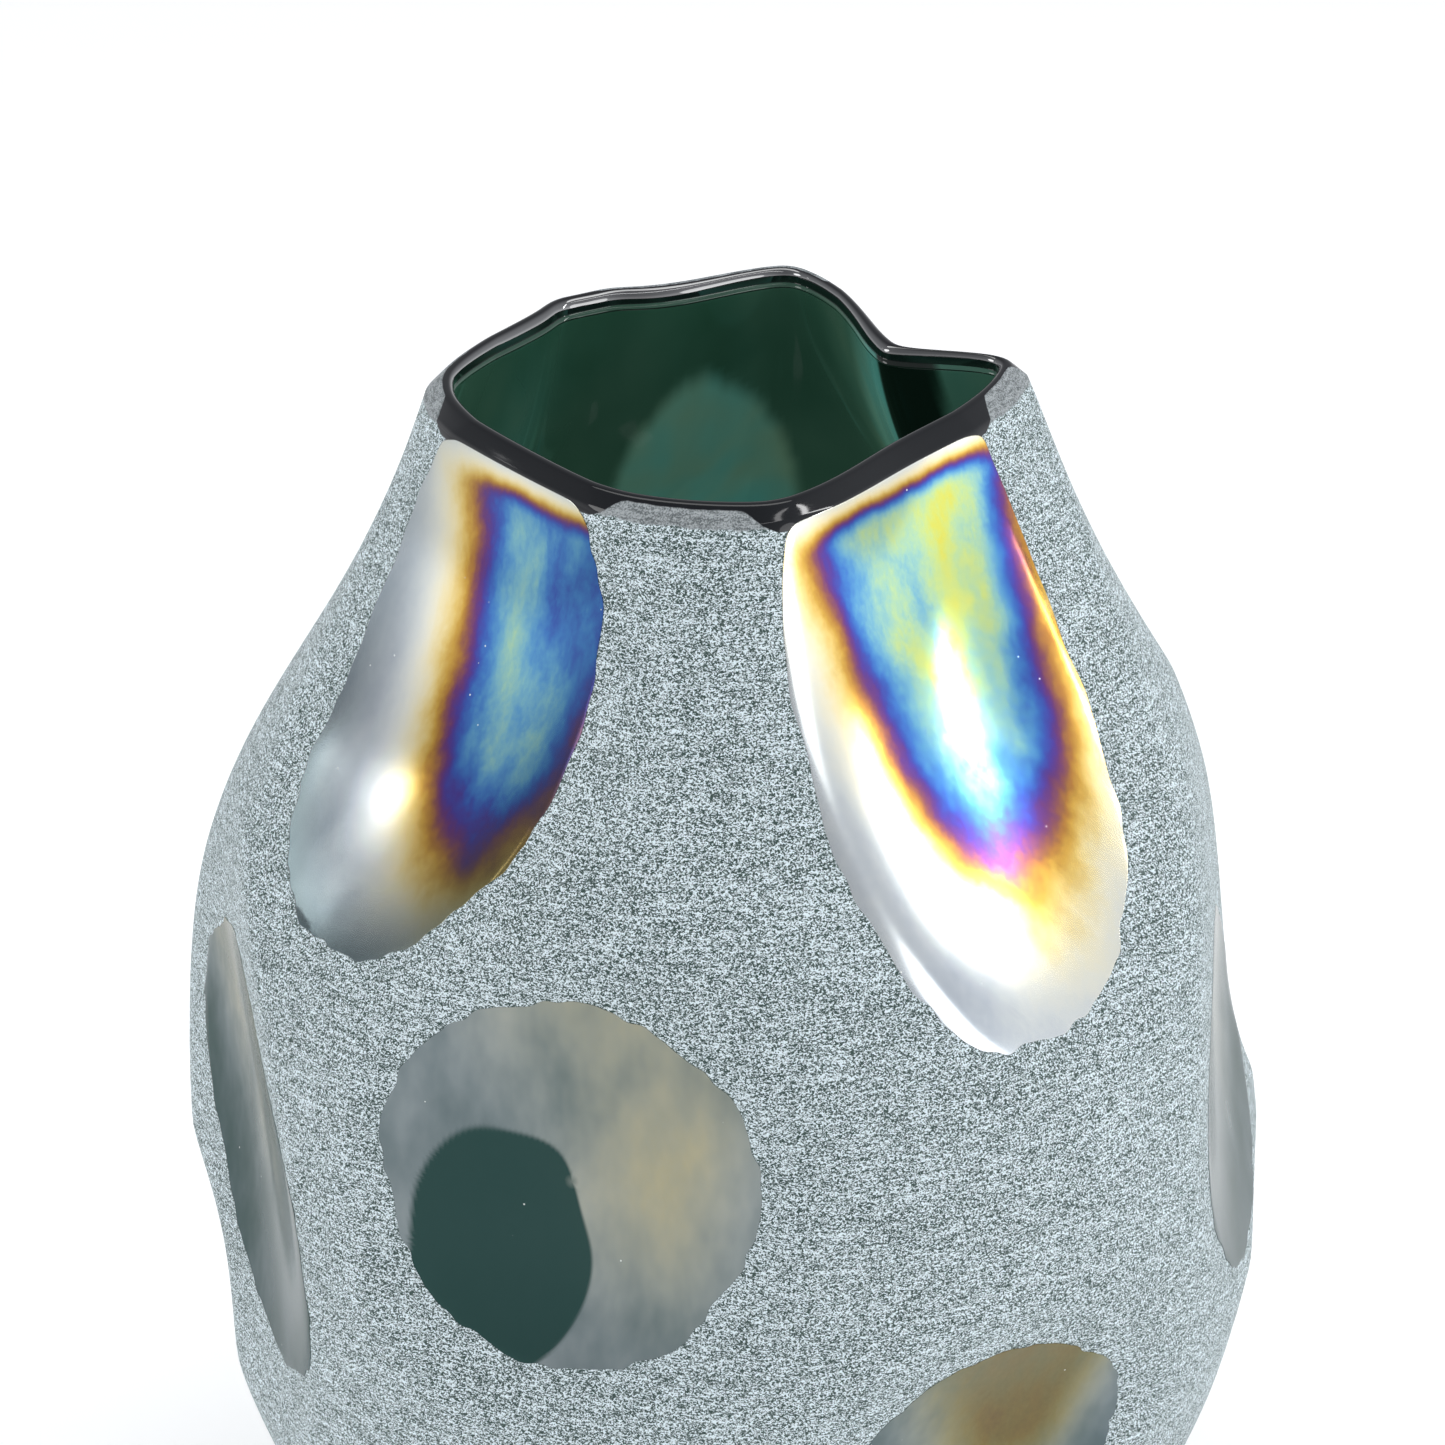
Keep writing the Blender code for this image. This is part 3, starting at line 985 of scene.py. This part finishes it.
def closed_mesh(
    name: str, rows: np.ndarray, poles: tuple, values: dict[str, np.ndarray]
) -> bpy.types.Object:
    """A closed surface from a grid that goes round in its columns and ends in two poles.

    Quads join neighbouring rows and columns, the last column joins the first, and a fan of
    triangles joins each end row to its pole. Faces are turned outwards if the volume is negative.

    Args:
        name: the piece's name.
        rows: points in an array of rows, columns and three coordinates.
        poles: the start and end points.
        values: numbers for the vertices by name, one for each grid point, rows by columns.

    Returns:
        The object, linked to the scene.
    """
    count_rows, count_columns = rows.shape[:2]
    points = np.concatenate([rows.reshape(-1, 3), np.array(poles, float)])
    index = np.arange(count_rows * count_columns).reshape(count_rows, count_columns)
    after = np.roll(index, -1, axis=1)
    quads = np.stack([index[:-1], after[:-1], after[1:], index[1:]], axis=-1).reshape(-1, 4)
    start, end = len(points) - 2, len(points) - 1
    first = np.stack([np.full(count_columns, start), after[0], index[0]], axis=-1)
    last = np.stack([np.full(count_columns, end), index[-1], after[-1]], axis=-1)
    triangles = np.concatenate([first, last, quads[:, [0, 1, 2]], quads[:, [0, 2, 3]]])
    corner = points[triangles]
    volume = np.einsum("ij,ij->i", corner[:, 0], np.cross(corner[:, 1], corner[:, 2])).sum()
    fans = np.concatenate([first, last])
    if volume < 0:
        quads, fans = quads[:, ::-1], fans[:, ::-1]
    mesh = bpy.data.meshes.new(name)
    mesh.vertices.add(len(points))
    mesh.vertices.foreach_set("co", points.ravel())
    mesh.loops.add(quads.size + fans.size)
    mesh.loops.foreach_set("vertex_index", np.concatenate([quads.ravel(), fans.ravel()]))
    mesh.polygons.add(len(quads) + len(fans))
    sizes = np.concatenate([np.full(len(quads), 4), np.full(len(fans), 3)])
    mesh.polygons.foreach_set("loop_start", np.concatenate([[0], np.cumsum(sizes)[:-1]]))
    mesh.update(calc_edges=True)
    for key, grid in values.items():
        spread = np.concatenate([grid.ravel(), [grid[0].mean(), grid[-1].mean()]])
        stored = mesh.attributes.new(key, "FLOAT", "POINT")
        stored.data.foreach_set("value", spread.astype(np.float32))
    mesh.shade_smooth()
    obj = bpy.data.objects.new(name, mesh)
    bpy.context.scene.collection.objects.link(obj)
    return obj


# ---------------------------------------------------------------- sub-assemblies


@dataclass
class OuterCasing:
    """The casing: ground outside, bevel and rolled lip, closed by its hidden inner face.

    Each corner of the lip is an offset and a depth in mm. The attribute lip_depth is the depth
    down the wall. Over the lip it falls from lip_start by the distance inwards. The polish
    reaches down the wall to polish_back behind, polish_front in front and polish_by_lustre
    above an island, where it widens over a range of lustre_field.
    """

    form: VaseForm
    finish: GroundGlass = GroundGlass()
    columns: int = 360
    wall_rows: int = 190
    hidden_rows: int = 30
    lip_rows: int = 26
    wall: float = 3.2 * MM
    floor: float = 5 * MM
    lip_corners: tuple[Pair, ...] = (
        (0, 3.7), (1.9, 1.1), (3.0, 0.15), (4.7, 0.25), (6.1, 1.5), (6.75, 4.4),
    )
    lip_start: float = 4 * MM
    lip_to_hidden: float = 2 * MM
    polish_back: float = -0.3 * MM
    polish_front: float = 2.0 * MM
    polish_by_lustre: float = 5.5 * MM
    polish_widens: Pair = (-0.22, 0.0)

    def lip_section(self) -> np.ndarray:
        """The lip's section, outside to inside, as (offset, depth) in metres.

        The corners are joined by a curve that passes through them: a Catmull-Rom spline.

        Returns:
            Points along the section.
        """
        corners = np.array(self.lip_corners) * MM
        before, after = 2 * corners[:1] - corners[1:2], 2 * corners[-1:] - corners[-2:-1]
        padded = np.concatenate([before, corners, after])
        along = np.linspace(0, len(corners) - 1 - 1e-6, self.lip_rows)
        step = along.astype(int)
        t = (along - step)[:, None]
        a, b, c, d = (padded[step + shift] for shift in range(4))
        bend = (2 * a - 5 * b + 4 * c - d) * t**2 + (3 * b - a - 3 * c + d) * t**3
        return 0.5 * (2 * b + (c - a) * t + bend)

    def build(self) -> bpy.types.Object:
        """Make the casing's mesh and dress it.

        Returns:
            The casing.
        """
        lip = self.lip_section()
        azimuth = np.linspace(0, 2 * np.pi, self.columns, endpoint=False)[None, :]
        top = self.form.height
        outer = np.linspace(0, top - lip[0, 1], self.wall_rows)[:-1]
        hidden_top = top - lip[-1, 1] - self.lip_to_hidden
        hidden = np.linspace(hidden_top, self.floor, self.hidden_rows)
        none, walled = np.zeros(len(hidden)), np.full(len(hidden), self.wall)
        height = np.concatenate([outer, top - lip[:, 1], hidden])[:, None]
        offset = np.concatenate([np.zeros(len(outer)), lip[:, 0], walled])[:, None]
        rows = self.form.points(azimuth, height, offset)
        depth = np.concatenate([top - outer, self.lip_start - lip[:, 0], none])[:, None]
        lustre = self.form.lustre_field(azimuth, np.clip(height, 0, top))
        front = (1 + np.cos(azimuth)) / 2
        plain = self.polish_back + (self.polish_front - self.polish_back) * front
        widened = smooth(lustre, *self.polish_widens)
        polish = plain + (self.polish_by_lustre - plain) * widened
        values = {
            "lip_depth": np.broadcast_to(depth, lustre.shape),
            "lustre_field": lustre,
            "polish_edge": polish,
        }
        poles = ((0, 0, 0), (0, 0, self.floor))
        casing = closed_mesh("casing_ground_outside", rows, poles, values)
        casing.data.materials.append(self.finish.material())
        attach(casing, "root")
        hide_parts("outer_casing")
        LOG.info("casing: %d faces", len(casing.data.polygons))
        return casing


@dataclass
class InnerBubble:
    """The bubble: a glossy green cup whose inside shows through the mouth.

    The ranges steep and folded give where the wall counts as steep, in change of radius per
    arc length, and as folded, in change of that slope per metre. Steep walls get a little painted
    light, and folded ones painted shadow.
    """

    form: VaseForm
    finish: GreenGlass = GreenGlass()
    columns: int = 360
    rows: int = 150
    hidden_rows: int = 24
    inside: float = 6.7 * MM
    outside: float = 3.6 * MM
    lip_depth: float = 3.0 * MM
    floor: float = 10.5 * MM
    underside: float = 5.5 * MM
    lip_to_hidden: float = 1.5 * MM
    steep: Pair = (0.55, 0.95)
    # painted light: at least steep_light on steep walls, and never below darkest_light
    steep_light: float = 0.05
    darkest_light: float = -0.3
    # where painted shadow falls along the sharp folds
    folded: Pair = (100.0, 165.0)
    step: int = 5

    def bends(self, rows: np.ndarray) -> tuple[np.ndarray, np.ndarray]:
        """How steeply and how sharply the wall turns inwards round the axis.

        The slope is the change of radius per arc length between columns a step to either side,
        and the fold is the change of that slope per arc length.

        Args:
            rows: the grid of points.

        Returns:
            Steepness and fold, each from 0 to 1.
        """
        radius = np.hypot(rows[..., 0], rows[..., 1])
        before = np.roll(radius, self.step, axis=1)
        after = np.roll(radius, -self.step, axis=1)
        arc = np.maximum(radius * 2 * np.pi * self.step / self.columns, 1 * MM)
        slope = np.abs(after - before) / (2 * arc)
        fold = (before + after - 2 * radius) / arc**2
        return smooth(slope, *self.steep), smooth(fold, *self.folded)

    def build(self) -> bpy.types.Object:
        """Make the bubble's mesh and dress it.

        Returns:
            The bubble.
        """
        azimuth = np.linspace(0, 2 * np.pi, self.columns, endpoint=False)[None, :]
        top = self.form.height - self.lip_depth
        hidden = np.linspace(self.underside, top - self.lip_to_hidden, self.hidden_rows)
        inner = np.linspace(top, self.floor, self.rows)
        height = np.concatenate([hidden, inner])[:, None]
        sides = (np.full(len(hidden), self.outside), np.full(len(inner), self.inside))
        rows = self.form.points(azimuth, height, np.concatenate(sides)[:, None])
        # painted light behind the clearer islands and on steep walls, painted shadow along the
        # folds
        through = self.form.lustre_field(azimuth, height, by_painted_light=True)
        steep, fold = self.bends(rows)
        light = np.maximum(np.clip(through, self.darkest_light, 1), self.steep_light * steep)
        values = {"painted_light_patch": light, "painted_fold_shadow": fold}
        poles = ((0, 0, self.underside), (0, 0, self.floor))
        bubble = closed_mesh("bubble_green_inside", rows, poles, values)
        bubble.data.materials.append(self.finish.material())
        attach(bubble, "root")
        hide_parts("inner_bubble")
        LOG.info("bubble: %d faces", len(bubble.data.polygons))
        return bubble


@dataclass
class LustreIsland:
    """One island of lustre film: a thin skin lying in its dent.

    Its rings crowd together towards the outline, and the last two, at outline_rings, give it
    a narrow edge. Its under side is inset a little. The film thins to film_at_lip over a
    range of distances below the edge under the lip.
    """

    form: VaseForm
    name: str
    island: Island
    finish: Lustre = Lustre()
    spokes: int = 320
    rings: int = 42
    under_rings: int = 8
    proud: float = 0.07 * MM
    sunk: float = 0.35 * MM
    ring_power: float = 0.85
    outline_rings: Pair = (0.997, 1)
    under_inset: float = 0.995
    level_limit: float = 0.02
    far: float = 60.0
    corner_power: float = 30.0
    film_at_lip: float = 0.2
    thins: Pair = (-1 * MM, 9 * MM)

    def outline(self, angle: np.ndarray) -> np.ndarray:
        """Outline radius: the waved ellipse, cut by a straight line under the lip.

        The two radii a and b are joined as (a^-n + b^-n)^(-1/n), which rounds the corners.

        Args:
            angle: angles round the island's middle.

        Returns:
            Share of the ellipse's radius.
        """
        whole = edge_waves(self.island, angle)
        limit = (self.island.drop * MM - self.form.lustre_below_lip) / (self.island.rise * MM)
        upward = np.sin(angle)
        reach = limit / np.clip(upward, self.level_limit, None)
        cut = np.where(upward > self.level_limit, reach, self.far)
        power = self.corner_power
        return (whole**-power + cut**-power) ** (-1 / power)

    def build(self) -> bpy.types.Object:
        """Make the island's mesh with its film thickness and dress it.

        Returns:
            The island.
        """
        island, form = self.island, self.form
        angle = np.linspace(0, 2 * np.pi, self.spokes, endpoint=False)[None, :]
        inner_rings = np.linspace(0, 1, self.rings)[1:-1] ** self.ring_power
        top = np.append(inner_rings, self.outline_rings)
        under = np.linspace(1, 0, self.under_rings)[:-1] * self.under_inset
        share = np.concatenate([top, under])[:, None]
        sides = (np.full(len(top), -self.proud), np.full(len(under), self.sunk))
        offset = np.concatenate(sides)[:, None]
        reach = share * self.outline(angle)
        across = reach * np.cos(angle)
        down_share = -reach * np.sin(angle)
        down = down_share * np.where(down_share > 0, island.fall, island.rise) * MM
        height = form.height - island.drop * MM - down
        sideways = across * island.half_width * MM + island.lean * down
        azimuth = math.radians(island.azimuth) + sideways / form.turned_radius(height)
        rows = form.points(azimuth, height, offset)
        middle = np.array([math.radians(island.azimuth)])
        level = np.array([form.height - island.drop * MM])
        ends = (np.array([-self.proud]), np.array([self.sunk]))
        poles = tuple(form.points(middle, level, end)[0] for end in ends)
        below_cut = (form.height - height) - form.lustre_below_lip
        full = smooth(below_cut, *self.thins)
        film = island.film.thickness(across, down_share)
        values = {
            "film": film * full + self.film_at_lip * (1 - full),
            # cover holds the painted dark reflection, and shade the painted shade towards the rim
            "cover": island.film.cover(across, down_share),
            "shade": island.film.shade(across, down_share),
        }
        skin = closed_mesh("lustre_film_" + self.name, rows, poles, values)
        finish = self.finish.material("lustre_finish_" + self.name, island.film.strength)
        skin.data.materials.append(finish)
        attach(skin, "root")
        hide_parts("lustre_" + self.name)
        LOG.info("lustre %s: %d faces", self.name, len(skin.data.polygons))
        return skin


# ---------------------------------------------------------------- studio


def grey(tone: float) -> Colour:
    """A grey of one tone."""
    return (tone, tone, tone)


class Softbox(Enum):
    """Where each soft light stands, its size and its power, in metres and watts."""

    LEFT = ((-1.59, 0.19, 0.98), (0.07, 0.07), 0.1)
    LEFT_FRONT = ((-1.58, -0.66, 1.1), (0.84, 0.84), 7.6)
    RIGHT = ((1.6, 0.0, 1.15), (0.09, 1.0), 4.2)
    RIGHT_FRONT = ((1.42, -0.88, 0.62), (0.7, 0.9), 3.3)
    OVERHEAD = ((0.0, 0.3, 2.1), (2.4, 0.7), 13.0)
    FRONT_TOP = ((0.62, -0.78, 1.9), (1.8, 0.08), 2.0)


@dataclass
class Studio:
    """Pale floor, soft lights, surroundings and the camera.

    The surroundings are brighter at the horizon than above, and brighter to either side, by
    the first wing, and more so to the right, by the second.
    """

    form: VaseForm
    floor_size: float = 14.0
    floor_scale: Pair = (3.0, 3.0)
    floor_tones: Pair = (0.92, 0.94)
    floor_roughness: float = 0.9
    floor_glow: Pair = (0.26, 0.62)
    floor_glow_range: Pair = (1.0, 5.0)
    horizon: Colour = (0.75, 0.76, 0.78)
    above: Colour = (0.39, 0.40, 0.42)
    above_range: Pair = (0.0, 0.42)
    wings: Pair = (0.95, 0.34)
    lights_aim: float = 0.6
    aim_below_lip: float = 85.2 * MM
    distance: float = 1.7
    elevation: float = math.radians(25.6)
    side_step: float = -1.8 * MM
    lens: float = 180.4
    clip_end: float = 50.0

    def build(self) -> None:
        """Make the floor, the world, the lights and the camera."""
        self.make_floor()
        self.make_world()
        for box in Softbox:
            self.make_softbox(box)
        self.make_camera()
        bpy.context.scene.view_settings.view_transform = "Standard"

    def make_floor(self) -> None:
        """A pale floor of one square with a faint mottle, which glows more towards its edge."""
        half = self.floor_size / 2
        corners = [(-half, -half, 0), (half, -half, 0), (half, half, 0), (-half, half, 0)]
        mesh = bpy.data.meshes.new("floor")
        mesh.from_pydata(corners, [], [(0, 1, 2, 3)])
        floor = bpy.data.objects.new("floor", mesh)
        bpy.context.scene.collection.objects.link(floor)
        made = bpy.data.materials.new("floor_finish")
        tree = Tree(made)
        mottle = tree.noise(tree.stretched(*self.floor_scale), 2.0, 0.5)
        colour = tree.mix(mottle, *(grey(tone) for tone in self.floor_tones))
        length = {"operation": "LENGTH"}
        away = tree.add("ShaderNodeVectorMath", length, {0: tree.place()}, "Value")
        glows = (grey(tone) for tone in self.floor_glow)
        tree.surface({
            "Base Color": colour,
            "Roughness": self.floor_roughness,
            "Emission Color": tree.mix(away.rises(*self.floor_glow_range), *glows),
            "Emission Strength": 1.0,
        })
        floor.data.materials.append(made)

    def make_world(self) -> None:
        """Dim grey surroundings that the camera sees as white."""
        world = bpy.data.worlds.new("studio")
        bpy.context.scene.world = world
        tree = Tree(world)
        seen = tree.add("ShaderNodeLightPath", {}, {}, "Is Camera Ray")
        direction = tree.add("ShaderNodeTexCoord", {}, {}, "Generated")
        sideways = tree.axis(direction, "X")
        upwards = tree.axis(direction, "Z").rises(*self.above_range)
        colour = tree.mix(seen, tree.mix(upwards, self.horizon, self.above), grey(1.0))
        wings = sideways * sideways * self.wings[0] + sideways * self.wings[1]
        inputs = {"Color": colour, "Strength": wings * (1.0 - seen) + 1.0}
        background = tree.add("ShaderNodeBackground", {}, inputs)
        tree.add("ShaderNodeOutputWorld", {}, {"Surface": background})

    def make_softbox(self, box: Softbox) -> None:
        """One elliptical light, turned to face the middle of the vase.

        Args:
            box: which light.
        """
        place, size, power = box.value
        lamp = bpy.data.lights.new("softbox_" + box.name.lower(), "AREA")
        lamp.shape = "ELLIPSE"
        lamp.size, lamp.size_y = size
        lamp.energy = power
        obj = bpy.data.objects.new(lamp.name, lamp)
        bpy.context.scene.collection.objects.link(obj)
        obj.location = place
        towards = np.array((0, 0, self.form.height * self.lights_aim)) - np.array(place)
        flat = math.hypot(towards[0], towards[1])
        obj.rotation_euler = (math.atan2(flat, -towards[2]), 0, math.atan2(-towards[0], towards[1]))

    def make_camera(self) -> None:
        """A long lens looking down at the vase from in front."""
        camera = bpy.data.cameras.new("camera")
        camera.lens = self.lens
        camera.clip_end = self.clip_end
        obj = bpy.data.objects.new("camera", camera)
        bpy.context.scene.collection.objects.link(obj)
        aim = self.form.height - self.aim_below_lip
        back = self.distance * math.cos(self.elevation)
        obj.location = (self.side_step, -back, aim + self.distance * math.sin(self.elevation))
        obj.rotation_euler = (math.pi / 2 - self.elevation, 0, 0)
        bpy.context.scene.camera = obj


def main() -> None:
    """Build the glass layers, the lustre and the studio in order."""
    logging.basicConfig(level=logging.INFO)
    form = VaseForm()
    OuterCasing(form).build()
    InnerBubble(form).build()
    for name, island in form.islands.items():
        LustreIsland(form, name, island).build()
    Studio(form).build()


if __name__ == "__main__":
    main()
